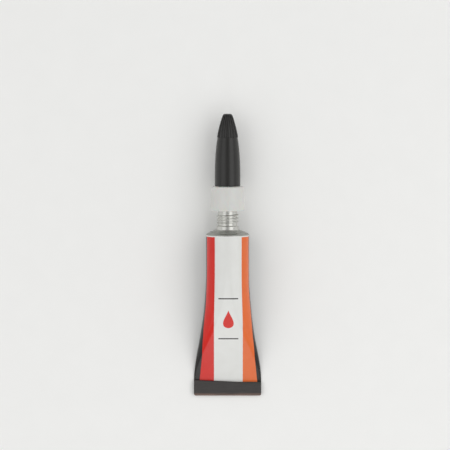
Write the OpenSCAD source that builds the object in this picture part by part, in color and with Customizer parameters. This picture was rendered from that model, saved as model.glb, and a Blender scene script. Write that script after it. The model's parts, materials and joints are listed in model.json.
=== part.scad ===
// Small aluminium glue tube with a folded tail, a screw-down piercing nozzle and a push-on cap.
// Millimetres. The tube lies on its flat back: cap towards +Y, front face up, floor at z = 0.

/* [Tube body] */
// Outside diameter of the round end of the body
tube_d = 13.5; // [12:0.1:16]
// Thickness of the tube's sheet
wall = 0.15; // [0.1:0.01:0.25]
// Length of the body from the top of the fold to the edge of the shoulder
body_len = 46.7; // [35:0.1:65]
// How late the body flattens: a larger number keeps it round further down to the tail
flatten = 4.1; // [2.5:0.1:5]
// Height of the cone between the body and the neck
shoulder_h = 1.5; // [1:0.1:3]
// Thickness of the metal in the shoulder cone, along the axis
shoulder_t = 0.5; // [0.3:0.05:0.9]

/* [Tail fold] */
// Height of the rolled fold
fold_h = 4.5; // [3:0.1:7]
// Thickness of the sealant between the two walls of the flat tail
sealant_t = 0.06; // [0.04:0.01:0.12]
// Space between neighbouring layers of the fold
fold_gap = 0.04; // [0.02:0.01:0.08]

/* [Neck] */
// Length of the neck from the top of the shoulder cone to its rim
neck_len = 8; // [7.5:0.1:9]
// Outside diameter of the neck thread
thread_d = 6.8; // [6.4:0.1:7.6]
// Radial depth of the neck thread
thread_depth = 0.45; // [0.3:0.05:0.5]
// Rise of both threads in one turn
thread_pitch = 1; // [0.9:0.05:1.2]
// Height of the plain ring at the foot of the neck
ring_h = 1.1; // [0.6:0.1:1.4]
// Outside diameter of the plain ring
ring_d = 6.9; // [6.6:0.1:8]
// Diameter of the bore through the neck
neck_bore_d = 4.8; // [4.2:0.1:5]
// Thickness of the web that closes the neck
membrane_t = 0.12; // [0.08:0.01:0.2]
// Depth of the web below the rim of the neck
membrane_inset = 0.25; // [0.1:0.05:0.6]
// Bevel on the rim of the neck and on the plain ring
neck_bevel = 0.2; // [0.1:0.05:0.3]

/* [Nozzle] */
// Length of neck that shows below the collar before the nozzle is screwed down
neck_shown = 6; // [5:0.1:6.4]
// Length of the collar
collar_len = 7.65; // [6.6:0.05:9]
// Diameter of the collar's lower edge
collar_d = 10.6; // [9.6:0.1:12]
// Diameter of the collar's upper edge
collar_top_d = 10; // [9.2:0.1:12]
// Thickness of the roof inside the collar
roof_t = 1.05; // [0.8:0.05:1.4]
// Diameter of the plain spigot that holds the cap
spigot_d = 6.4; // [6:0.1:6.6]
// Length of the spigot
spigot_len = 2.4; // [1.5:0.1:3.5]
// Diameter of the spout where it leaves the spigot
spout_d = 5.2; // [4:0.1:5.4]
// Diameter of the spout at its tip
spout_tip_d = 1.8; // [1.6:0.1:2]
// Diameter of the bore through the spout and the spike
bore_d = 1; // [0.8:0.05:1.1]
// Diameter of the spike at the roof of the collar
spike_d = 2.8; // [2:0.1:3.4]
// Diameter of the spike at its point
spike_tip_d = 1.3; // [1.2:0.05:1.6]
// Bevel on the edges of the collar and the spigot
nozzle_bevel = 0.25; // [0.1:0.05:0.3]

/* [Cap] */
// Length of the cap
cap_len = 22.5; // [19:0.1:30]
// Solid length of the cap's tip, past the space for the spout
cap_tip_solid = 2.65; // [2:0.05:5]
// Diameter of the cap at its mouth
cap_d = 8; // [7.6:0.1:9]
// Diameter of the cap at its tip
cap_tip_d = 2.7; // [2.2:0.1:3]
// Radius of the rounded edge at the cap's tip
cap_tip_round = 0.4; // [0.2:0.05:0.6]
// Length of the ribbed end of the cap
rib_len = 7.3; // [4:0.1:10]
// Number of ribs round the cap
rib_count = 16; // [8:1:20]
// Height of a rib
rib_h = 0.15; // [0.1:0.01:0.25]
// Width of a rib
rib_w = 0.26; // [0.15:0.01:0.35]
// Diameter of the pin that plugs the spout
pin_d = 0.8; // [0.5:0.05:0.9]
// Length of pin inside the spout
pin_len = 3; // [1:0.1:6]

/* [Contents] */
// Height of the glue's level above the floor while the tube lies on its back
glue_level = 6; // [4:0.1:9]
// Length of the flat body next to the fold that holds no glue
glue_start = 2; // [1:0.1:6]

/* [Fits] */
// Radial clearance of the cap on its spigot
fit_gap = 0.03; // [0.02:0.01:0.08]
// Radial clearance of the cut web in the bore of the neck
web_gap = 0.02; // [0.01:0.01:0.05]
// Clearance between the flanks of the two threads, along the axis
flank_gap = 0.03; // [0.02:0.01:0.06]
// Radial clearance between the crest of each thread and the root of the other
crest_gap = 0.1; // [0.06:0.01:0.15]
// Clearance between the spout and the inside of the cap
spout_gap = 0.35; // [0.2:0.05:0.4]
// Clearance between the point of the spike and the web
spike_gap = 0.03; // [0.02:0.01:0.2]

/* [Hidden] */
$fn = 96;
// Sides of each section of the body, a multiple of four, and bands along its length
loft_sides = 64;
loft_bands = 10;
// Straight steps in one turn of a thread
helix_steps = 24;
// Depth to which a ridge is rooted in the wall that carries it
root_sink = 0.1;
// Overlap where two solids are joined
join = 0.2;
// Sliver by which the body and the fold overlap, and the shoulder's edge stands back
skin = 0.01;

tube_r = tube_d / 2;
// The round tube, pressed flat, keeps its length around the middle of its wall
tail_w = PI * (tube_d - wall) / 2 + wall;
layer_t = 2 * wall + sealant_t;

// Heights along the axis of the tube, from the lower edge of the fold
z_shoulder = fold_h + body_len;
z_neck = z_shoulder + shoulder_h;
z_rim = z_neck + neck_len;
z_collar = z_neck + neck_shown;
z_collar_top = z_collar + collar_len;
z_roof = z_collar_top - roof_t;
z_web = z_rim - membrane_inset;
z_spike = z_web + spike_gap;
z_spout = z_collar_top + spigot_len;
z_cap_tip = z_collar_top + cap_len;
z_cap_roof = z_cap_tip - cap_tip_solid;
z_spout_tip = z_cap_roof - spout_gap;
z_ribs = z_cap_tip - rib_len;

// Threads: the same trapezoid on the neck and, half a turn further, in the collar
thread_r = thread_d / 2;
neck_r = thread_r - thread_depth;
socket_r = thread_r + crest_gap;
inner_crest_r = neck_r + crest_gap;
ridge_mean_w = thread_pitch / 2 - flank_gap;
// Loss of a ridge's width for each millimetre of its height
flank_slope = 0.7;
z_thread = z_neck + ring_h + 0.5 * thread_pitch;
z_thread_end = z_rim - 0.5 * thread_pitch;
z_inner = z_collar + 0.5 * thread_pitch;
z_inner_end = z_roof - 0.5 * thread_pitch;
inner_turn = 360 * ((z_inner - z_thread) / thread_pitch - 0.5);

// Radius of the outer bend at the end of the fold
roll_r = (3 * layer_t + 2 * fold_gap) / 2;
cap_profile = concat(
  [for (i = [0:20]) [cap_curve(i / 20), z_collar_top + (cap_len - cap_tip_round) * i / 20]],
  [for (i = [1:4]) [
    cap_tip_d / 2 - cap_tip_round * (1 - cos(22.5 * i)),
    z_cap_tip - cap_tip_round * (1 - sin(22.5 * i))
  ]]
);
// The tube lies on its flat back, and its axis runs level above the floor
length = z_cap_tip;

// Radius of the cap at a share of its length: wide for most of it, closing in at the tip
function cap_curve(share) = cap_tip_d / 2 + (cap_d - cap_tip_d) / 2 * (1 - pow(share, 3));

// Share of the flattening that is left at a share of the body's length up from the tail
function flatness(share) = pow(1 - share, flatten) * (1 + flatten * share);

// Puts a piece drawn level, tail end at y = 0, with the middle of the tube's length at y = 0
module place() {
  translate([0, -length / 2, 0])
    children();
}

// Puts a piece drawn upright, with the front towards -Y, on the level axis of the lying tube
module lay() {
  place()
    translate([0, 0, tube_r])
      rotate([-90, 0, 0])
        children();
}

// Body from the flat tail to the round end, drawn in by inset from the outside. Each section is two
// half circles joined by straight sides. It keeps the length of the tube's sheet round its edge,
// and its lower side lies on the floor.
module body_loft(inset, tail_t) {
  half_step = 180 / loft_sides;
  quarter = loft_sides / 4;
  corner = [tail_w / 2 - inset, tail_t / 2];
  tail = [for (side = [[1, 1], [-1, 1], [-1, -1], [1, -1]])
    [side[0] * corner[0], fold_h - skin, layer_t / 2 + side[1] * corner[1]]
  ];
  rings = [for (band = [1:loft_bands])
    let (flat = flatness(band / loft_bands))
    let (middle = tube_r - (tube_r - layer_t / 2) * flat)
    let (r = tube_r - inset - (tube_r - inset - corner[1]) * flat)
    let (straight = (corner[0] - corner[1]) * flat)
    for (k = [0:loft_sides - 1])
      let (angle = half_step * (2 * k + 1))
      [
        sign(cos(angle)) * straight + r * cos(angle) / cos(half_step),
        fold_h + body_len * band / loft_bands,
        middle + r * sin(angle) / cos(half_step)
      ]
  ];
  // Faces that spread from the four corners of the tail to the first ring
  fans = [for (k = [0:loft_sides - 1])
    let (next = (k + 1) % loft_sides)
    let (a = floor(k / quarter))
    let (b = floor(next / quarter))
    a == b ? [a, 4 + next, 4 + k] : [a, b, 4 + next, 4 + k]
  ];
  bands = [for (band = [0:loft_bands - 2]) for (k = [0:loft_sides - 1]) for (half = [0, 1])
    let (a = 4 + band * loft_sides + k)
    let (b = 4 + band * loft_sides + (k + 1) % loft_sides)
    half == 0 ? [a, b, b + loft_sides] : [a, b + loft_sides, a + loft_sides]
  ];
  round_end = [for (k = [0:loft_sides - 1]) 4 + (loft_bands - 1) * loft_sides + k];
  place()
    polyhedron(
      points = concat(tail, rings),
      faces = concat([[3, 2, 1, 0]], fans, bands, [round_end]),
      convexity = 4
    );
}

// Section of the rolled fold, drawn for one layer of the given thickness: along the floor to the
// end bend, back above it, and forward again between the two
module fold_section(layer) {
  step = layer_t + fold_gap;
  far = fold_h - step / 2 - layer_t / 2;
  // Lowest layer
  translate([roll_r, layer_t / 2 - layer / 2])
    square([fold_h - roll_r, layer]);
  // End bend
  intersection() {
    translate([roll_r, roll_r])
      difference() {
        circle(r = step + layer / 2);
        circle(r = step - layer / 2);
      }
    translate([-roll_r, -roll_r])
      square([2 * roll_r, 4 * roll_r]);
  }
  // Top layer
  translate([roll_r, layer_t / 2 + 2 * step - layer / 2])
    square([far - roll_r, layer]);
  // Bend at the top of the fold
  intersection() {
    translate([far, layer_t / 2 + 1.5 * step])
      difference() {
        circle(r = step / 2 + layer / 2);
        circle(r = step / 2 - layer / 2);
      }
    translate([far, 0])
      square([2 * step, 4 * step]);
  }
  // End of the sheet, between the other two layers
  translate([roll_r, layer_t / 2 + step - layer / 2])
    square([far - roll_r, layer]);
}

// The fold's section drawn along the width of the tail
module fold(layer, width) {
  place()
    translate([-width / 2, 0, 0])
      rotate([90, 0, 90])
        linear_extrude(height = width)
          fold_section(layer);
}

// Ridge of trapezoid section wound right-handed up from z = 0, fading out at both ends.
// base_r lies inside the wall that carries it; crest_r is larger outside and smaller inside.
module helix_ridge(base_r, crest_r, base_w, crest_w, turns) {
  steps = ceil(turns * helix_steps);
  outside = crest_r > base_r;
  rings = [for (i = [0:steps])
    let (turn = turns * i / steps)
    let (grow = max(0.05, min(1, 4 * turn, 4 * (turns - turn))))
    let (r = base_r + (crest_r - base_r) * grow)
    let (ring = [[base_r, -base_w / 2], [r, -crest_w / 2], [r, crest_w / 2], [base_r, base_w / 2]])
    for (k = [0:3])
      let (p = ring[outside ? k : 3 - k])
      [p[0] * cos(360 * turn), p[0] * sin(360 * turn), p[1] + thread_pitch * turn]
  ];
  sides = [for (i = [0:steps - 1]) for (k = [0:3]) for (half = [0, 1])
    let (a = 4 * i + k)
    let (b = 4 * i + (k + 1) % 4)
    half == 0 ? [a, b, b + 4] : [a, b + 4, a + 4]
  ];
  last = 4 * steps;
  polyhedron(
    points = rings,
    faces = concat(sides, [[0, 3, 2, 1], [last, last + 1, last + 2, last + 3]]),
    convexity = 12
  );
}

// One thread: the ridge's flanks keep one slope from the sunken root to the crest
module thread(wall_r, crest_r, turns) {
  out = crest_r > wall_r ? 1 : -1;
  middle_r = (neck_r + thread_r) / 2;
  base_r = wall_r - out * root_sink;
  base_w = ridge_mean_w + flank_slope * abs(middle_r - base_r);
  crest_w = ridge_mean_w - flank_slope * abs(crest_r - middle_r);
  helix_ridge(base_r, crest_r, base_w, crest_w, turns);
}

// Outside of the shoulder and the neck, as a solid of revolution
module head_solid() {
  rotate_extrude()
    polygon([
      [0, z_shoulder - join / 2],
      [tube_r - wall / 3, z_shoulder - join / 2],
      [tube_r - wall / 3, z_shoulder],
      [tube_r - skin, z_shoulder],
      [tube_r - wall, z_shoulder + 2 * wall],
      [ring_d / 2, z_neck],
      [ring_d / 2, z_neck + ring_h],
      [neck_r, z_neck + ring_h + neck_bevel],
      [neck_r, z_rim - neck_bevel],
      [neck_r - neck_bevel, z_rim],
      [0, z_rim]
    ]);
}

// Inside of the shoulder and the neck, as a solid of revolution
module head_space() {
  rotate_extrude()
    polygon([
      [0, z_shoulder - join],
      [tube_r - 3 * wall, z_shoulder - join],
      [tube_r - 2 * wall, z_shoulder],
      [neck_bore_d / 2, z_neck - shoulder_t],
      [neck_bore_d / 2, z_rim + 1],
      [0, z_rim + 1]
    ]);
}

// Aluminium tube: body, shoulder, threaded neck and folded tail in one piece
module tube_shell() {
  color([0.78, 0.79, 0.8])
    difference() {
      union() {
        body_loft(0, layer_t);
        fold(layer_t, tail_w);
        lay() {
          head_solid();
          translate([0, 0, z_thread])
            thread(neck_r, thread_r, (z_thread_end - z_thread) / thread_pitch);
        }
      }
      body_loft(wall, sealant_t);
      fold(sealant_t, tail_w - 2 * wall);
      lay()
        head_space();
    }
}

// Band of sealant between the two walls of the fold
module tail_sealant() {
  color([0.2, 0.22, 0.2])
    fold(sealant_t, tail_w - 2 * wall);
}

// Glue, level in the lying tube, with air above it
module glue_fill() {
  color([0.9, 0.92, 0.88])
    intersection() {
      body_loft(wall, sealant_t);
      place()
        translate([-tail_w, fold_h + glue_start, 0])
          cube([2 * tail_w, 2 * body_len, glue_level]);
    }
}

// Web that closes the neck; the spike pushes it down the bore
module neck_membrane() {
  color([0.8, 0.81, 0.82])
    lay()
      translate([0, 0, z_web - membrane_t])
        cylinder(h = membrane_t, r = neck_bore_d / 2 - web_gap);
}

// Nozzle: threaded collar, hollow spike inside it and spout above it, in one piece
module nozzle() {
  color([0.93, 0.93, 0.91])
    lay()
      difference() {
        union() {
          difference() {
            rotate_extrude()
              polygon([
                [0, z_collar],
                [collar_d / 2 - nozzle_bevel, z_collar],
                [collar_d / 2, z_collar + nozzle_bevel],
                [collar_top_d / 2, z_collar_top - nozzle_bevel],
                [collar_top_d / 2 - nozzle_bevel, z_collar_top],
                [spigot_d / 2, z_collar_top],
                [spigot_d / 2, z_spout - nozzle_bevel],
                [spigot_d / 2 - nozzle_bevel, z_spout],
                [spout_d / 2, z_spout],
                [spout_tip_d / 2, z_spout_tip],
                [0, z_spout_tip]
              ]);
            translate([0, 0, z_collar - 1])
              cylinder(h = z_roof - z_collar + 1, r = socket_r);
          }
          translate([0, 0, z_spike])
            cylinder(h = z_roof - z_spike + join, r1 = spike_tip_d / 2, r2 = spike_d / 2);
          translate([0, 0, z_inner])
            rotate([0, 0, inner_turn])
              thread(socket_r, inner_crest_r, (z_inner_end - z_inner) / thread_pitch);
        }
        translate([0, 0, z_spike - 1])
          cylinder(h = z_spout_tip - z_spike + 2, r = bore_d / 2);
      }
}

// Cap: shell over the spout, plug pin in its bore, ribs round its tip
module cap() {
  color([0.13, 0.13, 0.12])
    lay() {
      difference() {
        union() {
          rotate_extrude()
            polygon(concat([[0, z_collar_top]], cap_profile, [[0, z_cap_tip]]));
          cap_ribs();
        }
        rotate_extrude()
          polygon([
            [0, z_collar_top - 1],
            [spigot_d / 2 + fit_gap, z_collar_top - 1],
            [spigot_d / 2 + fit_gap, z_spout],
            [spout_d / 2 + spout_gap, z_spout + spout_gap],
            [spout_tip_d / 2 + spout_gap, z_cap_roof],
            [0, z_cap_roof]
          ]);
      }
      translate([0, 0, z_spout_tip - pin_len])
        cylinder(h = pin_len + spout_gap + join, r = pin_d / 2);
    }
}

// Ribs: radial blades cut to a skin that stands rib_h proud of the cap
module cap_ribs() {
  proud = [for (p = cap_profile) if (p[1] > z_ribs && p[1] < z_cap_tip - cap_tip_round)
    [p[0] + rib_h, p[1]]];
  low_share = rib_share(z_ribs);
  intersection() {
    rotate_extrude()
      polygon(concat(
        [[0, z_ribs], [cap_curve(low_share) + rib_h, z_ribs]],
        proud,
        [[0, proud[len(proud) - 1][1]]]
      ));
    for (i = [0:rib_count - 1])
      rotate([0, 0, 360 * i / rib_count])
        translate([0, -rib_w / 2, z_ribs - 1])
          cube([cap_d, rib_w, rib_len + 2]);
  }
}

// Share of the cap's curve that lies below a height
function rib_share(z) = (z - z_collar_top) / (cap_len - cap_tip_round);

tube_shell();
tail_sealant();
glue_fill();
neck_membrane();
nozzle();
cap();
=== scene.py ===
"""Looks of a small aluminium glue tube: printed body, rolled tail, threaded neck, nozzle and cap.

Sizes are millimetres along the tube's own axis, counted from the tail end of the fold; the mesh
functions work in those millimetres and `to_frame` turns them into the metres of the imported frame.
"""

import json
from math import cos, pi, radians, sin

import bpy
import numpy as np
from mathutils import Matrix, Vector


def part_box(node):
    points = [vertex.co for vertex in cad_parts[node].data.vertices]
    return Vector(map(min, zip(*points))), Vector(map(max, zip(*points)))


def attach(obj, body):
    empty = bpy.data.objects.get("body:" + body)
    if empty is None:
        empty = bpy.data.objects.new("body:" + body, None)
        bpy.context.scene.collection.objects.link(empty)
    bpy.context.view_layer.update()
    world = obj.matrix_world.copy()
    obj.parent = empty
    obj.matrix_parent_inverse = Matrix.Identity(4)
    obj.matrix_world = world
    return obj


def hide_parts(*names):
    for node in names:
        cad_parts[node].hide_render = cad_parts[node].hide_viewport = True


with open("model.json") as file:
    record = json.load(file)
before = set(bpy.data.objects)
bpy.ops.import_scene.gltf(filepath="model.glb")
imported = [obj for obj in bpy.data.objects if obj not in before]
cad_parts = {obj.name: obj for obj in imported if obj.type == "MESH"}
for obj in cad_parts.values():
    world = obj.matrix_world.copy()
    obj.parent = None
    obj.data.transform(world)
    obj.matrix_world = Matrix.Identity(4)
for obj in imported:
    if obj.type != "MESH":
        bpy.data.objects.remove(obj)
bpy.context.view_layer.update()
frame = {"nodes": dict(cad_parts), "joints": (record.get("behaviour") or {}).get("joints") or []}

# Stations along the axis and heights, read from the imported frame
MM = 0.001
turn_joint = next(joint for joint in frame["joints"] if joint["name"] == "nozzle_turn")
tube_low, tube_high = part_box("tube_shell")
nozzle_low, nozzle_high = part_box("nozzle")
cap_low, cap_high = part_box("cap")
tail_y = tube_low.y
AXIS_H = turn_joint["pos_m"][2] / MM
TAIL_HALF_W = tube_high.x / MM
Z_RIM = (tube_high.y - tail_y) / MM
Z_COLLAR = (nozzle_low.y - tail_y) / MM
Z_SPOUT_TIP = (nozzle_high.y - tail_y) / MM
Z_COLLAR_TOP = (cap_low.y - tail_y) / MM
Z_CAP_TIP = (cap_high.y - tail_y) / MM

# Tube body and shoulder
TUBE_R = AXIS_H
WALL = 0.15
SHOULDER_H = 1.5
SHOULDER_T = 0.5
NECK_LEN = 8.0
Z_NECK = Z_RIM - NECK_LEN
Z_SHOULDER = Z_NECK - SHOULDER_H
# Rounded edge between the two: how far below the shoulder it starts, how far in and up it ends
EDGE_DOWN = 0.35
EDGE_IN = 0.5
EDGE_UP = 0.42
# Height above the shoulder's station of the corner that this edge rounds off
EDGE_RISE = 0.05
# Grooves on the shoulder: their places as shares of its cone, and their section
GROOVE_PLACES = (0.3, 0.68)
GROOVE_HALF_W = 0.26
GROOVE_DEPTH = 0.15
GROOVE_ROUND = 0.06

# Rolled tail, and the power in the law by which the body goes flat towards it
LAYER_T = 0.36
SEALANT_T = 0.06
FOLD_H = 4.5
FOLD_GAP = 0.04
FOLD_CORNER_R = 0.7
FLATTEN = 4.1
BODY_LEN = Z_SHOULDER - FOLD_H
# The fold's layers are this much thinner on each side, so that the roll keeps inside its box
LAYER_SLIM = 0.004
# Depth of the gentle waves across the roll
FOLD_WAVE = 0.022
# How far the upper edge of the fold runs up at its left end and down at its right end, and its wave
FOLD_SLANT = 0.6
SLANT_WAVE = 0.05
# The printed front runs on below the fold by this, so that it shows where the edge runs down
PRINT_UNDER = 0.9

# Soft sheet of the body: depth of its waves, depth of the ripples above the fold and their reach
WAVE_DEPTH = 0.045
RIPPLE_DEPTH = 0.05
RIPPLE_REACH = 4.5
# Dents: middle round the tube from its front and up from the fold, radius and depth
DENTS = (
    (-7.6, 24.0, 3.6, 0.10),
    (8.4, 31.0, 4.4, 0.09),
    (12.5, 15.0, 5.0, 0.12),
    (-14.0, 33.0, 5.5, 0.12),
)

# Neck and threads
RING_R = 3.45
RING_H = 1.1
RING_BEVEL = 0.2
# Plain foot of the neck above the ring, and its plain end below the rim
FOOT_LEN = 0.45
RIM_LEN = 0.25
THREAD_R = 3.4
NECK_R = 2.95
NECK_BORE_R = 2.4
PITCH = 1.0
Z_THREAD = Z_NECK + RING_H + 0.5 * PITCH
Z_THREAD_END = Z_RIM - 0.5 * PITCH
# Half width of a thread's crest and of its foot, along the axis
CREST_HALF_W = 0.14
FOOT_HALF_W = 0.30
# Plain stretch of neck right below the collar, and the length over which the thread fades there
RELIEF_LEN = 1.0
RELIEF_FADE = 0.2
# Inside the collar the thread comes back between these two heights above the collar's edge
RELIEF_STOP, THREAD_BACK = 0.05, 0.3
Z_RELIEF = Z_COLLAR - RELIEF_LEN

# Nozzle
COLLAR_R = 5.3
COLLAR_TOP_R = 5.0
COLLAR_DOME = 0.25
ROOF_T = 1.05
SOCKET_R = 3.5
SOCKET_BEVEL_W, SOCKET_BEVEL_H = 0.2, 0.25
SOCKET_PLAIN = 0.3
INNER_CREST_R = 3.05
SPIGOT_R = 3.2
SPIGOT_LEN = 2.4
SPOUT_R = 2.6
SPOUT_STEP_H = 0.1
SPOUT_TIP_R = 0.9
BORE_R = 0.5
SPIKE_R = 1.4
SPIKE_TIP_R = 0.65
SPIKE_DEPTH = 0.22
Z_ROOF = Z_COLLAR_TOP - ROOF_T
Z_SPOUT = Z_COLLAR_TOP + SPIGOT_LEN
Z_SPIKE = Z_RIM - SPIKE_DEPTH

# Cap
CAP_R = 4.0
CAP_TIP_R = 1.35
CAP_TIP_ROUND = 0.4
CAP_TIP_SOLID = 2.65
CAP_FIT = 0.03
MOUTH_GAP = 0.005
SPOUT_GAP = 0.35
SPIGOT_GAP = 0.05
# Where the rounding of the mouth starts above the collar
MOUTH_START = 0.28
PIN_R = 0.4
PIN_LEN = 3.0
RIB_LEN = 7.3
RIB_COUNT = 16
RIB_H = 0.15
RIB_W = 0.32
FLUTE_DEPTH = 0.16
Z_CAP_ROOF = Z_CAP_TIP - CAP_TIP_SOLID
Z_RIBS = Z_CAP_TIP - RIB_LEN
Z_MOUTH = Z_COLLAR_TOP + MOUTH_GAP
Z_PIN = Z_SPOUT_TIP - PIN_LEN

# Glue: where it starts above the fold and ends below the shoulder, the gap to the wall that keeps
# the two apart, and the height it stands at in the lying tube
GLUE_START = 2.0
GLUE_STOP = 0.4
GLUE_GAP = 0.03
GLUE_LEVEL = 6.0

# Fineness of the meshes: columns round each piece, rows along it, and steps along the threads
TUBE_COLUMNS, BODY_ROWS = 192, 132
GLUE_COLUMNS, GLUE_ROWS = 96, 60
NOZZLE_COLUMNS = 160
CAP_COLUMNS, TIP_ROWS, TIP_PLAIN_ROWS = 320, 8, 3
FOLD_COLUMNS, FOLD_RUN_ROWS, FOLD_BEND_ROWS = 61, 14, 15
THREAD_STEP, SOCKET_STEP = 0.055, 0.07
# Longest steps along the turned outlines: shoulder, rim, nozzle and the cap's inside
SHOULDER_STEP, RIM_STEP, NOZZLE_STEP, INSIDE_STEP = 0.2, 0.6, 0.5, 0.7
# Steps along the cap's outside: on the ribs, where they start, and below them
RIB_STEP, RIB_FOOT_STEP, CAP_STEP = 0.12, 0.03, 0.3
# Gap between the last row of one stretch and the first row of the next
EDGE_GAP, ROW_GAP = 0.02, 0.05
# Small rings round the poles of the cap's tip and of its pin
TIP_RINGS = (0.05, 0.4)
PIN_POLE_R = 0.06

# Printed stripes, as distances round the tube from the middle of its front
WHITE_HALF_W = 4.5
STRIPE_EDGE = 8.8
# The whole print sits this far to the right of the middle
PRINT_SHIFT = 0.25
# The outer stripes grow wider by this over the last stretch of body before the fold
STRIPE_FLARE = 0.85
FLARE_LEN = 8.5
# They are drawn in by this where the body goes flat, between these two stations
STRIPE_DRAW = 0.6
Z_DRAWN, Z_UNDRAWN = 19.0, 26.0
# Ends of the coloured print and of the enamel below the shoulder's edge; the white between them is
# a painted highlight along the rounded edge
COLOUR_STOP = 0.5
COAT_STOP = 0.15
# Width over which an ink's edge fades, and how far the edges wander round and along the tube
INK_FADE = 0.05
WANDER_ROUND, WANDER_ALONG = 0.10, 0.16
# Drop on the white stripe and the two rules, above and below it
DROP_HALF_H = 3.0
DROP_R = 2.6
Z_DROP = 25.0
RULE_AWAY = 6.5
RULE_HALF_T = 0.16
RULE_HALF_W = 3.1
# The printed map stores millimetres divided by this, so that it stays within one unit
MAP_MM = 100.0


def smooth(low, high, value):
    """Goes from 0 at low to 1 at high along the curve 3t^2 - 2t^3; low may be the larger one."""
    t = np.clip((value - low) / (high - low), 0.0, 1.0)
    return t * t * (3.0 - 2.0 * t)


def to_frame(x, along, up):
    """Millimetres across, along the axis from the tail and above the floor, as frame metres."""
    x, along, up = np.broadcast_arrays(x, along, up)
    return np.stack([x * MM, tail_y + along * MM, up * MM], axis=-1)


def round_shares(count):
    """Columns of a ring, as shares from -1 to 1 of half the way round from the front's middle."""
    return -1 + 2 * np.arange(count) / count


def rounded_line(corners, step):
    """A line through corners (radius, height, rounding), with each corner cut off by a parabola.

    The parabola starts and ends `rounding` before and after the corner. Straight stretches are
    divided into steps no longer than `step`.
    """
    points = np.array([corner[:2] for corner in corners], float)
    rounding = np.array([corner[2] for corner in corners], float)
    share = np.linspace(0.0, 1.0, 7)[:, None]
    line = [points[:1]]
    for i in range(1, len(points)):
        start = line[-1][-1]
        last = i == len(points) - 1
        ahead = points[i] - points[i - 1]
        stop = points[i] - ahead / np.linalg.norm(ahead) * (0.0 if last else rounding[i])
        count = max(1, int(np.ceil(np.linalg.norm(stop - start) / step)))
        line.append(start + (stop - start) * np.linspace(0, 1, count + 1)[1:, None])
        if not last and rounding[i] > 0:
            away = points[i + 1] - points[i]
            leave = points[i] + away / np.linalg.norm(away) * rounding[i]
            curve = (1 - share) ** 2 * stop + 2 * share * (1 - share) * points[i] + share**2 * leave
            line.append(curve[1:])
    return np.concatenate(line)


def ring_faces(rows, columns, closed):
    """Quads between neighbouring rows of a grid whose columns close into rings.

    With `closed`, the last row also joins the first, so that the surface has no edge.
    """
    row = np.arange(rows if closed else rows - 1)[:, None]
    column = np.arange(columns)[None, :]
    next_row, next_column = (row + 1) % rows, (column + 1) % columns
    quads = [
        row * columns + column,
        row * columns + next_column,
        next_row * columns + next_column,
        next_row * columns + column,
    ]
    return np.stack(quads, axis=-1).reshape(-1, 4)


def end_fans(rows, columns):
    """Triangles that close a grid's first and last ring, round two points added after the grid."""
    column = np.arange(columns)
    following = (column + 1) % columns
    first_pole = np.full(columns, rows * columns)
    last_ring = (rows - 1) * columns
    start = np.stack([first_pole, following, column], axis=-1)
    stop = np.stack([first_pole + 1, column + last_ring, following + last_ring], axis=-1)
    return np.concatenate([start, stop])


def make_piece(name, points, quads, triangles=None, print_map=None):
    """A smooth mesh object from whole arrays: points in metres, faces as vertex numbers."""
    triangles = np.zeros((0, 3), int) if triangles is None else triangles
    corners = np.concatenate([quads.ravel(), triangles.ravel()])
    sizes = np.concatenate([np.full(len(quads), 4), np.full(len(triangles), 3)])
    starts = np.concatenate([[0], np.cumsum(sizes)[:-1]])
    mesh = bpy.data.meshes.new(name)
    mesh.vertices.add(len(points))
    mesh.vertices.foreach_set("co", points.astype(np.float32).ravel())
    mesh.loops.add(len(corners))
    mesh.loops.foreach_set("vertex_index", corners.astype(np.int32))
    mesh.polygons.add(len(sizes))
    mesh.polygons.foreach_set("loop_start", starts.astype(np.int32))
    mesh.polygons.foreach_set("use_smooth", np.ones(len(sizes), bool))
    mesh.update(calc_edges=True)
    if print_map is not None:
        layer = mesh.uv_layers.new(name="print_map")
        layer.data.foreach_set("uv", print_map.astype(np.float32).ravel())
    mesh.validate()
    piece = bpy.data.objects.new(name, mesh)
    bpy.context.scene.collection.objects.link(piece)
    return piece


def thread_height(around, along, offset, start, stop):
    """Height from 0 to 1 of a right-hand thread at angle `around` from the front, height `along`.

    The ridge's middle climbs one pitch in each turn, counted from the right side. Its section is
    flat at the crest and runs down to the foot in an S. It fades in and out over a quarter turn.
    """
    middle = start + offset + PITCH * (around - pi / 2) / (2 * pi)
    turns = np.round((along - middle) / PITCH)
    away = np.abs(along - middle - turns * PITCH)
    ridge = smooth(FOOT_HALF_W, CREST_HALF_W, away)
    climbed = turns + (around - pi / 2) / (2 * pi)
    length = (stop - start) / PITCH
    fade = np.clip(4 * climbed, 0, 1) * np.clip(4 * (length - climbed), 0, 1)
    return ridge * fade


def flatness(share):
    """Share of the flattening left at a share of the body's length: (1 - v)^n (1 + n v)."""
    return (1 - share) ** FLATTEN * (1 + FLATTEN * share)


def body_dents(around, share):
    """Inward waves and a few shallow dents of the soft sheet, in millimetres, never outward.

    Two slow crossed waves cover the body, small dents are bell shapes, and faint ripples run up
    from the fold. Their rates are radians per millimetre. All of it dies away at the tail and at
    the shoulder.
    """
    height = BODY_LEN * share
    rising = np.sin(0.42 * around + 0.21 * height)
    falling = np.sin(0.31 * height - 0.77 * around)
    waves = 0.5 + 0.25 * rising + 0.25 * falling
    crimp = np.sin(2.1 * around + 0.6 * np.sin(0.5 * around))
    ripples = (0.5 + 0.5 * crimp) * np.exp(-height / RIPPLE_REACH)
    depth = WAVE_DEPTH * waves + RIPPLE_DEPTH * ripples
    for middle, above_fold, radius, deep in DENTS:
        away = (around - middle) ** 2 + (height - above_fold) ** 2
        depth = depth + deep * np.exp(-away / radius**2)
    return depth * smooth(0.02, 0.14, share) * smooth(1.0, 0.9, share)


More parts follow.
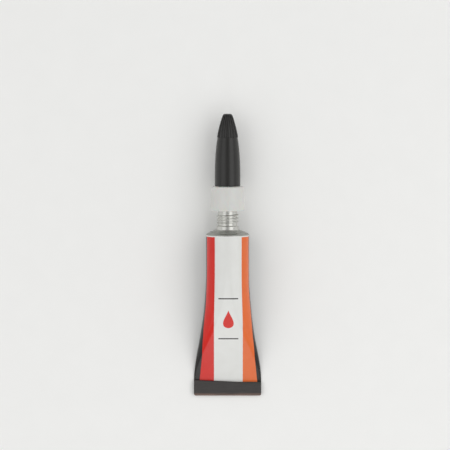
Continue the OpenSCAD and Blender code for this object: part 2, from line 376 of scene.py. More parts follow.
def body_rows(shares, columns, inset, tail_t):
    """Sections of the body: two half circles joined by straight sides, flat side on the floor.

    `columns` are shares from -1 to 1 of half the way round, from the middle of the front. Returns
    the points and the distance round the tube and height along it of each one.
    """
    share = shares[:, None]
    flat = flatness(np.maximum(share, 0))
    middle = TUBE_R - (TUBE_R - LAYER_T / 2) * flat
    r = TUBE_R - inset - (TUBE_R - inset - tail_t / 2) * flat
    straight = (TAIL_HALF_W - inset - tail_t / 2) * flat
    around = columns[None, :] * (2 * straight + pi * r)
    side, reach = np.sign(around), np.abs(around)
    angle = np.clip((reach - straight) / r, 0, pi)
    under = np.clip(reach - straight - pi * r, 0, None)
    r_in = r - body_dents(around, share)
    x = side * (np.minimum(reach, straight) - under + r_in * np.sin(angle))
    up = middle + r_in * np.cos(angle)
    along = FOLD_H + BODY_LEN * share + 0 * around
    return to_frame(x, along, up), around, along


def turned_rows(line, columns, bulge=0.0):
    """Rows of a turned shape: each point of `line` is a radius and a height, `bulge` adds to it."""
    r = line[:, :1] + bulge
    angle = pi * columns[None, :]
    along = line[:, 1:] + 0 * angle
    return to_frame(r * np.sin(angle), along, AXIS_H + r * np.cos(angle)), along


def shoulder_grooves():
    """Corners of the shallow V grooves that the forming tool leaves on the shoulder's cone."""
    start = np.array([TUBE_R - EDGE_IN, Z_SHOULDER + EDGE_UP])
    cone = np.array([RING_R, Z_NECK]) - start
    slope = cone / np.linalg.norm(cone)
    inward = np.array([-slope[1], slope[0]]) * -GROOVE_DEPTH
    corners = []
    for share in GROOVE_PLACES:
        middle = start + share * cone
        for along, deep in ((-GROOVE_HALF_W, 0.0), (0.0, 1.0), (GROOVE_HALF_W, 0.0)):
            corners.append((*(middle + along * slope + deep * inward), GROOVE_ROUND))
    return corners


def corner_map(around, along):
    """The printed map at the four corners of each face, from the millimetres at each point.

    The seam runs up the back, where the distance round changes its sign, so the map has one more
    column than the mesh.
    """
    rows, columns = around.shape
    map_around = np.concatenate([around, -around[:, :1]], axis=1) - PRINT_SHIFT
    map_along = np.concatenate([along, along[:, :1]], axis=1)
    row = np.repeat(np.arange(rows), columns)
    column = np.tile(np.arange(columns), rows)
    next_row = (row + 1) % rows
    corner_rows = np.stack([row, row, next_row, next_row], axis=-1)
    corner_columns = np.stack([column, column + 1, column + 1, column], axis=-1)
    both = [distance[corner_rows, corner_columns] for distance in (map_around, map_along)]
    return np.stack(both, axis=-1) / MAP_MM


def make_tube():
    """Body, shoulder, neck and the inside of the tube as one closed sheet.

    The rows run up the outside from the tail, over the rim and down the inside again.
    """
    columns = round_shares(TUBE_COLUMNS)
    shares = np.linspace(-PRINT_UNDER / BODY_LEN, 1 - EDGE_DOWN / BODY_LEN, BODY_ROWS)
    outer, outer_around, outer_along = body_rows(shares, columns, 0.0, LAYER_T)
    inner, inner_around, inner_along = body_rows(shares[::-2], columns, WALL, SEALANT_T)
    shoulder = rounded_line(
        [
            (TUBE_R, Z_SHOULDER - EDGE_DOWN + EDGE_GAP, 0),
            (TUBE_R, Z_SHOULDER + EDGE_RISE, 0.3),
            (TUBE_R - EDGE_IN, Z_SHOULDER + EDGE_UP, 0.2),
            *shoulder_grooves(),
            (RING_R, Z_NECK, 0.3),
            (RING_R, Z_NECK + RING_H, 0.18),
            (NECK_R, Z_NECK + RING_H + RING_BEVEL, 0.12),
            (NECK_R, Z_NECK + RING_H + FOOT_LEN, 0),
        ],
        SHOULDER_STEP,
    )
    thread_z = np.arange(shoulder[-1, 1] + ROW_GAP, Z_RIM - RIM_LEN, THREAD_STEP)
    neck = np.stack([np.full_like(thread_z, NECK_R), thread_z], axis=-1)
    rim = rounded_line(
        [
            (NECK_R, thread_z[-1] + ROW_GAP, 0),
            (NECK_R, Z_RIM, 0.2),
            (NECK_BORE_R, Z_RIM, 0.12),
            (NECK_BORE_R, Z_NECK - SHOULDER_T, 0.3),
            (TUBE_R - 2 * WALL, Z_SHOULDER, 0.2),
            (TUBE_R - WALL, Z_SHOULDER - EDGE_DOWN, 0),
        ],
        RIM_STEP,
    )
    line = np.concatenate([shoulder, neck, rim[:-1]])
    height = line[:, 1:]
    below_collar = smooth(Z_COLLAR + THREAD_BACK, Z_COLLAR + RELIEF_STOP, height)
    relief = below_collar * smooth(Z_RELIEF - RELIEF_FADE, Z_RELIEF, height)
    ridge = thread_height(pi * columns[None, :], height, 0.0, Z_THREAD, Z_THREAD_END) * (1 - relief)
    on_neck = np.zeros((len(line), 1))
    on_neck[len(shoulder) : len(shoulder) + len(neck)] = 1.0
    head, head_along = turned_rows(line, columns, (THREAD_R - NECK_R) * ridge * on_neck)
    head_around = pi * TUBE_R * columns[None, :] + 0 * head_along
    points = np.concatenate([outer, head, inner])
    around = np.concatenate([outer_around, head_around, inner_around])
    # The inside carries no print: its map lies above the coat's end
    along = np.concatenate([outer_along, head_along, np.full_like(inner_along, Z_NECK)])
    quads = ring_faces(len(points), TUBE_COLUMNS, True)
    print_map = corner_map(around, along)
    return make_piece("tube_printed_body", points.reshape(-1, 3), quads, None, print_map)


def make_glue():
    """The glue: the inside of the body a little drawn in, cut level at the height it stands at."""
    columns = round_shares(GLUE_COLUMNS)
    shares = np.linspace(GLUE_START / BODY_LEN, 1 - GLUE_STOP / BODY_LEN, GLUE_ROWS)
    points, _, _ = body_rows(shares, columns, WALL + GLUE_GAP, SEALANT_T)
    points[:, :, 2] = np.minimum(points[:, :, 2], GLUE_LEVEL * MM)
    poles = points[[0, -1]].mean(axis=1)
    quads = ring_faces(GLUE_ROWS, GLUE_COLUMNS, False)
    points = np.concatenate([points.reshape(-1, 3), poles])
    return make_piece("glue_body", points, quads, end_fans(GLUE_ROWS, GLUE_COLUMNS))


def make_tail_fold():
    """The tail rolled forward twice: a ribbon of sheet carried along the width of the tail.

    The ribbon's middle runs along the floor to the end bend, half round it, back over the top,
    half round a tighter bend and forward again between the two. Its corners are quarter circles,
    its layers wave gently, more the higher they lie, and the flap's upper edge runs at a slant.
    """
    step = LAYER_T + FOLD_GAP
    end_r = (3 * LAYER_T + 2 * FOLD_GAP) / 2
    far = FOLD_H - step / 2 - LAYER_T / 2
    half_t = LAYER_T / 2 - LAYER_SLIM
    turn = np.linspace(0, pi, FOLD_BEND_ROWS + 2)[1:-1]
    level = np.full(FOLD_RUN_ROWS, half_t)
    runs = [
        (np.linspace(FOLD_H - PRINT_UNDER, end_r, FOLD_RUN_ROWS), level),
        (end_r - step * np.sin(turn), end_r - step * np.cos(turn)),
        (np.linspace(end_r, far, FOLD_RUN_ROWS), level + 2 * step),
        (far + step / 2 * np.sin(turn), half_t + 1.5 * step + step / 2 * np.cos(turn)),
        (np.linspace(far, end_r, FOLD_RUN_ROWS), level + step),
    ]
    path = np.concatenate([np.stack(run, axis=-1) for run in runs])
    ahead = np.gradient(path, axis=0)
    ahead /= np.linalg.norm(ahead, axis=1, keepdims=True)
    normal = np.stack([-ahead[:, 1], ahead[:, 0]], axis=-1)
    outline = np.concatenate([path + half_t * normal, (path - half_t * normal)[::-1]])
    along, up = outline[:, 0][None, :], outline[:, 1][None, :]
    short = np.clip(FOLD_CORNER_R - along, 0, FOLD_CORNER_R)
    pull = FOLD_CORNER_R - np.sqrt(np.clip(FOLD_CORNER_R**2 - short**2, 0, None))
    x = np.linspace(-1, 1, FOLD_COLUMNS)[:, None] * (TAIL_HALF_W - pull)
    lift = np.clip(up, 0, None) / (2 * end_r)
    wave = FOLD_WAVE * lift * (np.sin(1.1 * x + 0.4) + np.sin(2.3 * x - 0.8) - 2)
    flap = smooth(0.31, 0.34, lift) * smooth(2.0, 4.0, along)
    slant = flap * (SLANT_WAVE * np.sin(0.33 * x + 0.9) - FOLD_SLANT * x / TAIL_HALF_W)
    points = to_frame(x, along + slant, up + wave)
    rows, columns = points.shape[:2]
    quads = ring_faces(rows, columns, False)
    # Each end of the ribbon is closed by quads between its two sides
    left = np.arange(len(path) - 1)
    lid = np.stack([left, left + 1, columns - 2 - left, columns - 1 - left], axis=-1)
    quads = np.concatenate([quads, lid[:, ::-1], lid + (rows - 1) * columns])
    return make_piece("tail_fold", points.reshape(-1, 3), quads[:, ::-1])


def make_nozzle():
    """Collar, spout, bore, spike and inside thread, turned from one closed outline."""
    columns = round_shares(NOZZLE_COLUMNS)
    outside = rounded_line(
        [
            (SOCKET_R, Z_COLLAR + SOCKET_BEVEL_H, 0),
            (SOCKET_R + SOCKET_BEVEL_W, Z_COLLAR, 0.12),
            (COLLAR_R, Z_COLLAR, 0.14),
            (COLLAR_TOP_R, Z_COLLAR_TOP - COLLAR_DOME, 0.12),
            (CAP_R, Z_COLLAR_TOP, 0.4),
            (SPIGOT_R, Z_COLLAR_TOP, 0.1),
            (SPIGOT_R, Z_SPOUT, 0.25),
            (SPOUT_R, Z_SPOUT + SPOUT_STEP_H, 0.25),
            (SPOUT_TIP_R, Z_SPOUT_TIP, 0.15),
            (BORE_R, Z_SPOUT_TIP, 0.1),
            (BORE_R, Z_SPIKE, 0.05),
            (SPIKE_TIP_R, Z_SPIKE, 0.05),
            (SPIKE_R, Z_ROOF, 0.3),
            (SOCKET_R, Z_ROOF, 0.2),
            (SOCKET_R, Z_ROOF - SOCKET_PLAIN, 0),
        ],
        NOZZLE_STEP,
    )
    top, bottom = Z_ROOF - SOCKET_PLAIN - SOCKET_STEP, Z_COLLAR + SOCKET_PLAIN
    thread_z = np.arange(top, bottom, -SOCKET_STEP)
    socket = np.stack([np.full_like(thread_z, SOCKET_R), thread_z], axis=-1)
    line = np.concatenate([outside, socket])
    in_socket = np.zeros((len(line), 1))
    in_socket[len(outside) :] = 1.0
    start, stop = Z_COLLAR + 0.5 * PITCH, Z_ROOF - 0.5 * PITCH
    # Half a pitch from the neck's thread, so that the two mesh
    lead = Z_THREAD + 0.5 * PITCH - start
    ridge = thread_height(pi * columns[None, :], line[:, 1:], lead, start, stop)
    points, _ = turned_rows(line, columns, -(SOCKET_R - INNER_CREST_R) * ridge * in_socket)
    quads = ring_faces(len(line), NOZZLE_COLUMNS, True)
    return make_piece("nozzle_moulding", points.reshape(-1, 3), quads)


def cap_radius(along):
    """Cap's outside: tip radius plus what is left of its taper after the cube of the height."""
    share = np.clip((along - Z_COLLAR_TOP) / (Z_CAP_TIP - CAP_TIP_ROUND - Z_COLLAR_TOP), 0, 1)
    return CAP_TIP_R + (CAP_R - CAP_TIP_R) * (1 - share**3)


def cap_ribs(r, height, columns):
    """What ribs and hollows add to the cap's radius: flat ribs at equal angles, hollows between.

    A rib's flanks take 0.12 mm and its foot 0.09 mm; at the tip both fade out over 0.6 mm.
    """
    pitch_angle = 2 * pi / RIB_COUNT
    from_rib = pi * columns[None, :] % pitch_angle
    from_rib = np.minimum(from_rib, pitch_angle - from_rib) * r
    rib = smooth(RIB_W / 2 + 0.05, RIB_W / 2 - 0.07, from_rib)
    foot = smooth(Z_RIBS - 0.03, Z_RIBS + 0.06, height)
    tip = smooth(Z_CAP_TIP - 0.1, Z_CAP_TIP - 0.7, height)
    return (RIB_H * rib - FLUTE_DEPTH * (1 - rib)) * (foot * tip)


def make_cap():
    """Ribbed cap: outside from the tip to the mouth, then the inside with the plug pin.

    Rows lie closer on the ribs, and closest where the ribs start.
    """
    columns = round_shares(CAP_COLUMNS)
    flat_r = CAP_TIP_R - CAP_TIP_ROUND
    flat_tip = np.array([[r, Z_CAP_TIP] for r in (*TIP_RINGS, flat_r)])
    turn = np.linspace(0, pi / 2, TIP_ROWS + 1)[1:]
    tip_r = CAP_TIP_R - CAP_TIP_ROUND * (1 - np.sin(turn))
    tip_z = Z_CAP_TIP - CAP_TIP_ROUND * (1 - np.cos(turn))
    tip = np.stack([tip_r, tip_z], axis=-1)
    side_z = np.concatenate(
        [
            np.arange(tip_z[-1] - RIB_STEP, Z_RIBS + RIB_STEP + RIB_FOOT_STEP, -RIB_STEP),
            np.arange(Z_RIBS + RIB_STEP, Z_RIBS - RIB_STEP, -RIB_FOOT_STEP),
            np.arange(Z_RIBS - CAP_STEP, Z_COLLAR_TOP + CAP_STEP, -CAP_STEP),
        ]
    )
    side = np.stack([cap_radius(side_z), side_z], axis=-1)
    inside = rounded_line(
        [
            (CAP_R, Z_COLLAR_TOP + MOUTH_START, 0),
            (CAP_R, Z_MOUTH, 0.22),
            (SPIGOT_R + CAP_FIT, Z_MOUTH, 0.12),
            (SPIGOT_R + CAP_FIT, Z_SPOUT + SPIGOT_GAP, 0.1),
            (SPOUT_R + SPOUT_GAP, Z_SPOUT + SPOUT_GAP, 0.1),
            (SPOUT_TIP_R + SPOUT_GAP, Z_CAP_ROOF, 0.15),
            (PIN_R, Z_CAP_ROOF, 0.1),
            (PIN_R, Z_PIN, 0.12),
            (PIN_POLE_R, Z_PIN, 0),
        ],
        INSIDE_STEP,
    )
    line = np.concatenate([flat_tip, tip, side, inside])
    # The ribs are on the side and on the lower part of the rounded tip
    on_side = np.zeros((len(line), 1))
    on_side[len(flat_tip) + TIP_PLAIN_ROWS : len(flat_tip) + len(tip) + len(side)] = 1.0
    ribs = cap_ribs(line[:, :1], line[:, 1:], columns)
    points, _ = turned_rows(line, columns, ribs * on_side)
    quads = ring_faces(len(line), CAP_COLUMNS, False)
    # A point on the axis closes the tip, and another one the end of the pin
    poles = to_frame(np.zeros(2), line[[0, -1], 1], np.full(2, AXIS_H))
    points = np.concatenate([points.reshape(-1, 3), poles])
    fans = end_fans(len(line), CAP_COLUMNS)
    return make_piece("cap_moulding", points, quads[:, ::-1], fans[:, ::-1])


def linear(code):
    """A colour written as sRGB hex, such as #c8322b, as linear red, green, blue and alpha."""
    value = np.array([int(code[i : i + 2], 16) for i in (1, 3, 5)]) / 255
    value = np.where(value <= 0.04045, value / 12.92, ((value + 0.055) / 1.055) ** 2.4)
    return (*value.tolist(), 1.0)


def new_material(name):
    """An empty node material, its tree, and its surface shader already linked to the output."""
    material = bpy.data.materials.new(name)
    material.use_nodes = True
    tree = material.node_tree
    return material, tree, tree.nodes["Principled BSDF"]


def connect(tree, node, inputs):
    """Sets the named or numbered inputs of a node, or links them where the value is an output."""
    for socket, value in inputs.items():
        if isinstance(value, bpy.types.NodeSocket):
            tree.links.new(value, node.inputs[socket])
        else:
            node.inputs[socket].default_value = value


def add_node(tree, kind, inputs=None, output=0, **settings):
    """Adds one node with its properties and inputs, and returns its named or numbered output."""
    node = tree.nodes.new(kind)
    for name, value in settings.items():
        setattr(node, name, value)
    connect(tree, node, inputs or {})
    return node.outputs[output]


# Mix node: numbers of its factor, of its two values and its two colours, and of the mixed colour
FACTOR, LOW, HIGH, FIRST, SECOND, MIXED = 0, 2, 3, 6, 7, 2


def drop_mask(tree, beside, height):
    """1 inside a drop, whose half width is its radius times (1 - t) / 2 times the root of 1 - t^2.

    t is the height from the drop's middle over half of its height, -1 at its foot, 1 at its point.
    """
    t = add_node(tree, "ShaderNodeMath", {0: height, 1: DROP_HALF_H}, operation="DIVIDE")
    squared = add_node(tree, "ShaderNodeMath", {0: t, 1: t}, operation="MULTIPLY")
    rest = add_node(
        tree, "ShaderNodeMath", {0: 1.0, 1: squared}, operation="SUBTRACT", use_clamp=True
    )
    bow = add_node(tree, "ShaderNodeMath", {0: rest}, operation="SQRT")
    down = add_node(
        tree, "ShaderNodeMath", {0: t, 1: -0.5, 2: 0.5}, operation="MULTIPLY_ADD", use_clamp=True
    )
    width = add_node(tree, "ShaderNodeMath", {0: bow, 1: down}, operation="MULTIPLY")
    outline = add_node(tree, "ShaderNodeMath", {0: width, 1: DROP_R}, operation="MULTIPLY")
    inside = add_node(tree, "ShaderNodeMath", {0: outline, 1: beside}, operation="SUBTRACT")
    fade = {"Value": inside, "From Min": 0.0, "From Max": INK_FADE}
    return add_node(tree, "ShaderNodeMapRange", fade)


def rules_mask(tree, beside, height):
    """1 on two thin bars of equal length, as far above the drop's middle as below it."""
    away = add_node(tree, "ShaderNodeMath", {0: height}, operation="ABSOLUTE")
    above = add_node(tree, "ShaderNodeMath", {0: away, 1: RULE_AWAY}, operation="SUBTRACT")
    off_rule = add_node(tree, "ShaderNodeMath", {0: above}, operation="ABSOLUTE")
    masks = []
    for distance, edge in ((off_rule, RULE_HALF_T), (beside, RULE_HALF_W)):
        fade = {"Value": distance, "From Min": edge + INK_FADE, "From Max": edge}
        masks.append(add_node(tree, "ShaderNodeMapRange", fade))
    return add_node(tree, "ShaderNodeMath", {0: masks[0], 1: masks[1]}, operation="MULTIPLY")


def turned_metal(tree, spot, neck):
    """Colour and turned lines of bare aluminium; painted shade makes the shoulder darker, the
    rolled neck brighter.

    The lines are about 0.12 mm apart, drawn that coarse so that they show.
    """
    stretched = add_node(tree, "ShaderNodeMapping", {0: spot, 3: (0.03, 1.0, 0.03)})
    grain = {"Vector": stretched, "Scale": 1 / (0.12 * MM), "Detail": 3.0}
    lines = add_node(tree, "ShaderNodeTexNoise", grain)
    shoulder_shade_and_neck_tones = []
    # The first pair, for the shoulder, is darker than the neck's: painted shade in the metal's
    # colour
    for deep, light in (("#787974", "#bbbcb6"), ("#b0b0ab", "#e1e1dc")):
        shades = {FACTOR: lines, FIRST: linear(deep), SECOND: linear(light)}
        shoulder_shade_and_neck_tones.append(add_node(tree, "ShaderNodeMix", shades, MIXED, data_type="RGBA"))
    shades = {FACTOR: neck, FIRST: shoulder_shade_and_neck_tones[0], SECOND: shoulder_shade_and_neck_tones[1]}
    return add_node(tree, "ShaderNodeMix", shades, MIXED, data_type="RGBA"), lines


def printed_enamel():
    """Gloss enamel printed on drawn aluminium: stripes over a white coat, bare metal past its end.

    The eye sees clean flat inks with a soft gloss, a fine ripple of the roller coat in the
    reflections, and satin metal with turned lines on the shoulder and the neck.
    """
    material, tree, shader = new_material("printed_enamel_on_drawn_aluminium")
    mapped = add_node(tree, "ShaderNodeUVMap", uv_map="print_map")
    place = add_node(
        tree, "ShaderNodeVectorMath", {0: mapped, "Scale": MAP_MM}, operation="SCALE"
    )
    around = add_node(tree, "ShaderNodeSeparateXYZ", {0: place}, "X")
    along = around.node.outputs["Y"]
    spot = add_node(tree, "ShaderNodeTexCoord", output="Object")

    # Ink edges wander by a few hundredths of a millimetre over about 1 mm
    grain = {"Vector": spot, "Scale": 1 / (1.0 * MM), "Detail": 2.0}
    wander = add_node(tree, "ShaderNodeTexNoise", grain)
    shift = add_node(tree, "ShaderNodeMath", {0: wander, 1: 0.5}, operation="SUBTRACT")
    shifted = {0: shift, 1: WANDER_ROUND, 2: around}
    ink_around = add_node(tree, "ShaderNodeMath", shifted, operation="MULTIPLY_ADD")
    shifted = {0: shift, 1: WANDER_ALONG, 2: along}
    ink_along = add_node(tree, "ShaderNodeMath", shifted, operation="MULTIPLY_ADD")
    reach = add_node(tree, "ShaderNodeMath", {0: ink_around}, operation="ABSOLUTE")

    # Distance round the tube, less what the outer stripes gain next to the fold, plus what they
    # lose above it
    near_fold = {"From Min": FOLD_H + FLARE_LEN, "From Max": FOLD_H, "To Max": STRIPE_FLARE}
    flare = add_node(tree, "ShaderNodeMapRange", {"Value": along, **near_fold})
    going_flat = {"From Min": Z_UNDRAWN, "From Max": Z_DRAWN, "To Max": STRIPE_DRAW}
    drawn_in = add_node(tree, "ShaderNodeMapRange", {"Value": along, **going_flat})
    gained = add_node(tree, "ShaderNodeMath", {0: flare, 1: drawn_in}, operation="SUBTRACT")
    outer = add_node(tree, "ShaderNodeMath", {0: reach, 1: gained}, operation="SUBTRACT")

    # Each mask is 1 past its edge
    edges = {
        "coloured": (reach, WHITE_HALF_W),
        "black": (outer, STRIPE_EDGE),
        "right": (ink_around, 0.0),
        "past_colour": (ink_along, Z_SHOULDER - COLOUR_STOP),
        "past_coat": (ink_along, Z_SHOULDER - COAT_STOP),
        "neck": (ink_along, Z_NECK - 0.1),
    }
    masks = {}
    for name, (distance, edge) in edges.items():
        fade = {"From Min": edge - INK_FADE / 2, "From Max": edge + INK_FADE / 2}
        masks[name] = add_node(tree, "ShaderNodeMapRange", {"Value": distance, **fade})

    # Inks: slight mottling over about 3 mm, as thin enamel has
    grain = {"Vector": spot, "Scale": 1 / (3.0 * MM), "Detail": 4.0}
    mottle = add_node(tree, "ShaderNodeTexNoise", grain)
    inks = {}
    for name, deep, light in (
        ("white", "#dcdcd8", "#e4e5e2"),
        ("red", "#cd231c", "#d62d24"),
        ("orange", "#dd6832", "#e6733c"),
        ("black", "#232120", "#2c2a29"),
    ):
        shades = {FACTOR: mottle, FIRST: linear(deep), SECOND: linear(light)}
        inks[name] = add_node(tree, "ShaderNodeMix", shades, MIXED, data_type="RGBA")

    # Layers of print: a mask, the ink where it is 0 and where it is 1; None is what lies below
    colour = None
    for mask, first, second in (
        ("right", "red", "orange"),
        ("coloured", "white", None),
        ("black", None, "black"),
        # Past the coloured print up to the enamel's end: white, a painted highlight along the
        # rounded edge
        ("past_colour", None, "white"),
    ):
        below = inks[first] if first else colour
        above = inks[second] if second else colour
        shades = {FACTOR: masks[mask], FIRST: below, SECOND: above}
        colour = add_node(tree, "ShaderNodeMix", shades, MIXED, data_type="RGBA")

    # Plain red drop with a thin black rule above and below it, on the white stripe, then bare metal
    height = add_node(tree, "ShaderNodeMath", {0: along, 1: Z_DROP}, operation="SUBTRACT")
    beside = add_node(tree, "ShaderNodeMath", {0: around}, operation="ABSOLUTE")
    metal, lines = turned_metal(tree, spot, masks["neck"])
    for mask, above in (
        (drop_mask(tree, beside, height), inks["red"]),
        (rules_mask(tree, beside, height), inks["black"]),
        (masks["past_coat"], metal),
    ):
        shades = {FACTOR: mask, FIRST: colour, SECOND: above}
        colour = add_node(tree, "ShaderNodeMix", shades, MIXED, data_type="RGBA")

    # Roughness: gloss enamel that varies a little, satin metal
    gloss = add_node(
        tree, "ShaderNodeMapRange", {"Value": mottle, "To Min": 0.12, "To Max": 0.20}
    )
    satin = add_node(tree, "ShaderNodeMapRange", {"Value": lines, "To Min": 0.20, "To Max": 0.36})
    finish = {FACTOR: masks["past_coat"], LOW: gloss, HIGH: satin}
    rough = add_node(tree, "ShaderNodeMix", finish, data_type="FLOAT")
    # Roller coat ripples about 0.7 mm apart, and the metal's turned lines
    grain = {"Vector": spot, "Scale": 1 / (0.7 * MM), "Detail": 1.0}
    peel = add_node(tree, "ShaderNodeTexNoise", grain)
    heights = {FACTOR: masks["past_coat"], LOW: peel, HIGH: lines}
    relief = add_node(tree, "ShaderNodeMix", heights, data_type="FLOAT")
    bump = add_node(
        tree, "ShaderNodeBump", {"Strength": 0.10, "Distance": 0.02 * MM, "Height": relief}
    )
    connect(tree, shader, {"Base Color": colour, "Roughness": rough, "Normal": bump})
    connect(tree, shader, {"Metallic": masks["past_coat"], "Specular IOR Level": 0.3})
    return material


def folded_black_enamel():
    """Black enamel on the folded tail: grey on the flat, a painted sheen, and lighter brown in
    patches towards the end bend.
    """
    material, tree, shader = new_material("black_enamel_on_folded_aluminium")
    spot = add_node(tree, "ShaderNodeTexCoord", output="Object")
    along = add_node(tree, "ShaderNodeSeparateXYZ", {0: spot}, "Y")
    # Scuffs run across the fold, about 0.4 mm wide and several long
    drawn = add_node(tree, "ShaderNodeMapping", {0: spot, 3: (0.12, 1.0, 1.0)})
    grain = {"Vector": drawn, "Scale": 1 / (0.4 * MM), "Detail": 5.0}
    scuff = add_node(tree, "ShaderNodeTexNoise", grain)
    # The greys are lighter than the black of the tube's back: painted sheen on the fold
    shades = {FACTOR: scuff, FIRST: linear("#302d2c"), SECOND: linear("#403d3b")}
    ink = add_node(tree, "ShaderNodeMix", shades, MIXED, data_type="RGBA")
    # A lighter brown grows in patches over the last millimetre to the end bend
    last = {"Value": along, "From Min": tail_y + 1.0 * MM, "From Max": tail_y + 0.2 * MM}
    edge = add_node(tree, "ShaderNodeMapRange", last)
    patches = {"Value": scuff, "From Min": 0.1, "From Max": 0.6, "To Max": 0.5}
    patchy = add_node(tree, "ShaderNodeMapRange", patches)
    brown_towards_bend = add_node(tree, "ShaderNodeMath", {0: edge, 1: patchy}, operation="MULTIPLY")
    shades = {FACTOR: brown_towards_bend, FIRST: ink, SECOND: linear("#a47d6a")}
    colour = add_node(tree, "ShaderNodeMix", shades, MIXED, data_type="RGBA")
    rough = add_node(tree, "ShaderNodeMapRange", {"Value": scuff, "To Min": 0.30, "To Max": 0.46})
    bump = add_node(
        tree, "ShaderNodeBump", {"Strength": 0.12, "Distance": 0.02 * MM, "Height": scuff}
    )
    connect(tree, shader, {"Base Color": colour, "Roughness": rough, "Normal": bump})
    return material


def moulded_plastic(name, deep, light, grain_mm, rough, milky=0.0):
    """A moulded plastic: faint clouding of its colour, a fine grain, and a soft or a bright gloss.

    Clouds are about 4 mm across; the grain is `grain_mm`. `milky` lets light in under the skin.
    """
    material, tree, shader = new_material(name)
    spot = add_node(tree, "ShaderNodeTexCoord", output="Object")
    clouds = {"Vector": spot, "Scale": 1 / (4.0 * MM), "Detail": 3.0}
    cloud = add_node(tree, "ShaderNodeTexNoise", clouds)
    grains = {"Vector": spot, "Scale": 1 / (grain_mm * MM), "Detail": 2.0}
    grain = add_node(tree, "ShaderNodeTexNoise", grains)
    shades = {FACTOR: cloud, FIRST: linear(deep), SECOND: linear(light)}
    colour = add_node(tree, "ShaderNodeMix", shades, MIXED, data_type="RGBA")
    sheen = {"Value": grain, "To Min": rough - 0.05, "To Max": rough + 0.06}
    gloss = add_node(tree, "ShaderNodeMapRange", sheen)
    bump = add_node(
        tree, "ShaderNodeBump", {"Strength": 0.08, "Distance": 0.02 * MM, "Height": grain}
    )
    connect(tree, shader, {"Base Color": colour, "Roughness": gloss, "Normal": bump})
    connect(tree, shader, {"Subsurface Weight": milky, "Subsurface Scale": 0.8 * MM})
    return material


def bare_web_aluminium():
    """Thin aluminium web, as left by the press: bright, with faint blotches 0.3 mm across."""
    material, tree, shader = new_material("pressed_aluminium_web")
    spot = add_node(tree, "ShaderNodeTexCoord", output="Object")
    grain = {"Vector": spot, "Scale": 1 / (0.3 * MM), "Detail": 3.0}
    blotch = add_node(tree, "ShaderNodeTexNoise", grain)
    shades = {FACTOR: blotch, FIRST: linear("#bcbdbf"), SECOND: linear("#dcdddf")}
    colour = add_node(tree, "ShaderNodeMix", shades, MIXED, data_type="RGBA")
    rough = add_node(tree, "ShaderNodeMapRange", {"Value": blotch, "To Min": 0.25, "To Max": 0.4})
    connect(tree, shader, {"Base Color": colour, "Roughness": rough, "Metallic": 1.0})
    return material


def cured_latex():
    """Dark cured latex band: matt, with a soft surface whose lumps are 0.8 mm across."""
    material, tree, shader = new_material("cured_latex_sealant")
    spot = add_node(tree, "ShaderNodeTexCoord", output="Object")
    grain = {"Vector": spot, "Scale": 1 / (0.8 * MM), "Detail": 3.0}
    lumps = add_node(tree, "ShaderNodeTexNoise", grain)
    shades = {FACTOR: lumps, FIRST: linear("#2b2e2a"), SECOND: linear("#3a3e38")}
    colour = add_node(tree, "ShaderNodeMix", shades, MIXED, data_type="RGBA")
    bump = add_node(
        tree, "ShaderNodeBump", {"Strength": 0.2, "Distance": 0.03 * MM, "Height": lumps}
    )
    connect(tree, shader, {"Base Color": colour, "Roughness": 0.7, "Normal": bump})
    return material


def clear_glue():
    """Thin clear adhesive: almost colourless, a liquid's sheen and faint clouds 6 mm across."""
    material, tree, shader = new_material("clear_thin_adhesive")
    spot = add_node(tree, "ShaderNodeTexCoord", output="Object")
    clouds = {"Vector": spot, "Scale": 1 / (6.0 * MM), "Detail": 2.0}
    haze = add_node(tree, "ShaderNodeTexNoise", clouds)
    shades = {FACTOR: haze, FIRST: linear("#e2e6de"), SECOND: linear("#eef1ea")}
    colour = add_node(tree, "ShaderNodeMix", shades, MIXED, data_type="RGBA")
    connect(tree, shader, {"Base Color": colour, "Roughness": 0.05, "IOR": 1.45})
    connect(tree, shader, {"Transmission Weight": 0.7})
    return material


def dress(piece, material, body, slot, *replaced):
    """Gives a piece its material, the body that it rides on and the nodes that it stands for."""
    piece.data.materials.append(material)
    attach(piece, body)
    if replaced:
        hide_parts(*replaced)


white_polyethylene = moulded_plastic(
    "moulded_white_polyethylene", "#cfcfcb", "#d6d6d2", grain_mm=0.35, rough=0.40, milky=0.12
)
black_polypropylene = moulded_plastic(
    "moulded_black_polypropylene", "#161513", "#1e1d1b", grain_mm=0.3, rough=0.30
)
dress(make_tube(), printed_enamel(), "tube", "tube_aluminium", "tube_shell")
dress(make_glue(), clear_glue(), "tube", "glue_liquid", "glue_fill")
dress(make_tail_fold(), folded_black_enamel(), "tube", "tube_aluminium")
dress(make_nozzle(), white_polyethylene, "nozzle", "nozzle_polyethylene", "nozzle")
dress(make_cap(), black_polypropylene, "cap", "cap_polypropylene", "cap")
# The web and the sealant keep their solids, which have the right shape
for node, material in (
    ("neck_membrane", bare_web_aluminium()),
    ("tail_sealant", cured_latex()),
):
    frame["nodes"][node].material_slots[0].material = material


def make_floor(half):
    """Plain pale floor, level with the tube's back, of that half width in metres."""
    points = np.array([[-half, -half, 0], [half, -half, 0], [half, half, 0], [-half, half, 0]])
    floor = make_piece("pale_floor", points, np.array([[0, 1, 2, 3]]))
    material, tree, shader = new_material("matt_pale_paper")
    spot = add_node(tree, "ShaderNodeTexCoord", output="Object")
    grain = {"Vector": spot, "Scale": 1 / (8.0 * MM), "Detail": 3.0}
    fibre = add_node(tree, "ShaderNodeTexNoise", grain)
    shades = {FACTOR: fibre, FIRST: linear("#f4f4f2"), SECOND: linear("#f7f7f5")}
    colour = add_node(tree, "ShaderNodeMix", shades, MIXED, data_type="RGBA")
    connect(tree, shader, {"Base Color": colour, "Roughness": 0.9})
    floor.data.materials.append(material)


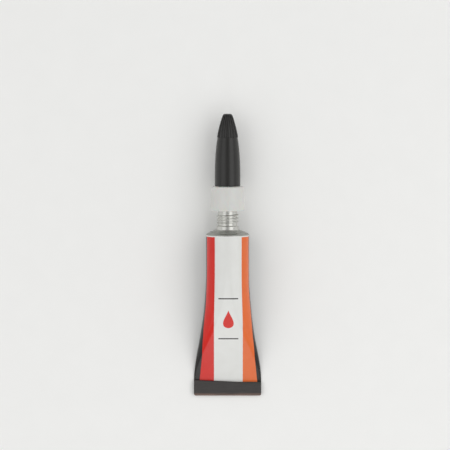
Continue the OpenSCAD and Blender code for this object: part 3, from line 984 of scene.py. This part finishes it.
def aim(thing, place, target, up=(0, 1, 0)):
    """Puts a lamp or the camera at `place`, facing `target`, with `up` to the picture's top."""
    back = (Vector(place) - Vector(target)).normalized()
    right = Vector(up).cross(back).normalized()
    turn = Matrix((right, back.cross(right), back)).transposed().to_4x4()
    thing.matrix_world = Matrix.Translation(place) @ turn


def add_lamp(name, place, target, size, power):
    """A soft rectangular lamp of that size in metres and that power in watts."""
    data = bpy.data.lights.new(name, "AREA")
    data.shape = "RECTANGLE"
    data.size, data.size_y = size
    data.energy = power
    lamp = bpy.data.objects.new(name, data)
    bpy.context.scene.collection.objects.link(lamp)
    aim(lamp, place, target)


# Studio, in metres: a softbox on each side of the tube and a strip past its tail
FLOOR_HALF_W = 0.33
LAMP_H = 0.40
SOFTBOX_X, SOFTBOX_Y = 0.33, 0.02
SOFTBOX_SIZE = (0.40, 1.0)
STRIP_Y = -0.42
STRIP_SIZE = (0.10, 0.66)
body_front = (0.0, SOFTBOX_Y, 0.02)
tail_front = (0.0, -0.02, 0.0)
make_floor(FLOOR_HALF_W)
add_lamp("right_softbox", (SOFTBOX_X, SOFTBOX_Y, LAMP_H), body_front, SOFTBOX_SIZE, 1.3)
add_lamp("left_softbox", (-SOFTBOX_X, SOFTBOX_Y, LAMP_H), body_front, SOFTBOX_SIZE, 0.9)
add_lamp("tail_strip", (0.0, STRIP_Y, LAMP_H), tail_front, STRIP_SIZE, 0.36)

# Surroundings: pale all round at the floor's level, dim overhead
world = bpy.data.worlds.new("studio")
world.use_nodes = True
bpy.context.scene.world = world
sky = world.node_tree
toward = add_node(sky, "ShaderNodeTexCoord", output="Generated")
climb = add_node(sky, "ShaderNodeSeparateXYZ", {0: toward}, "Z")
level = {"Value": climb, "From Min": 0.1, "From Max": 0.5, "To Min": 0.9, "To Max": 0.42}
glow = add_node(sky, "ShaderNodeMapRange", level, interpolation_type="SMOOTHSTEP")
connect(sky, sky.nodes["Background"], {"Color": linear("#ffffff"), "Strength": glow})

# Camera: straight above the printed front, leaning 4 degrees to the cap's side
PHOTO_PX = 450
PX_PER_MM = 3.205
CENTRE_Z = 54.14
CENTRE_X = -0.8
LEAN = radians(4)
DISTANCE = 1.5
SENSOR_MM = 36.0
target = Vector((CENTRE_X * MM, tail_y + CENTRE_Z * MM, AXIS_H * MM))
place = target + DISTANCE * Vector((0, sin(LEAN), cos(LEAN)))
camera_data = bpy.data.cameras.new("camera")
camera_data.sensor_width = SENSOR_MM
camera_data.sensor_fit = "HORIZONTAL"
camera_data.lens = SENSOR_MM * DISTANCE / (PHOTO_PX / PX_PER_MM * MM)
camera = bpy.data.objects.new("camera", camera_data)
bpy.context.scene.collection.objects.link(camera)
aim(camera, place, target)
bpy.context.scene.camera = camera
bpy.context.scene.view_settings.view_transform = "Standard"

bpy.context.view_layer.update()
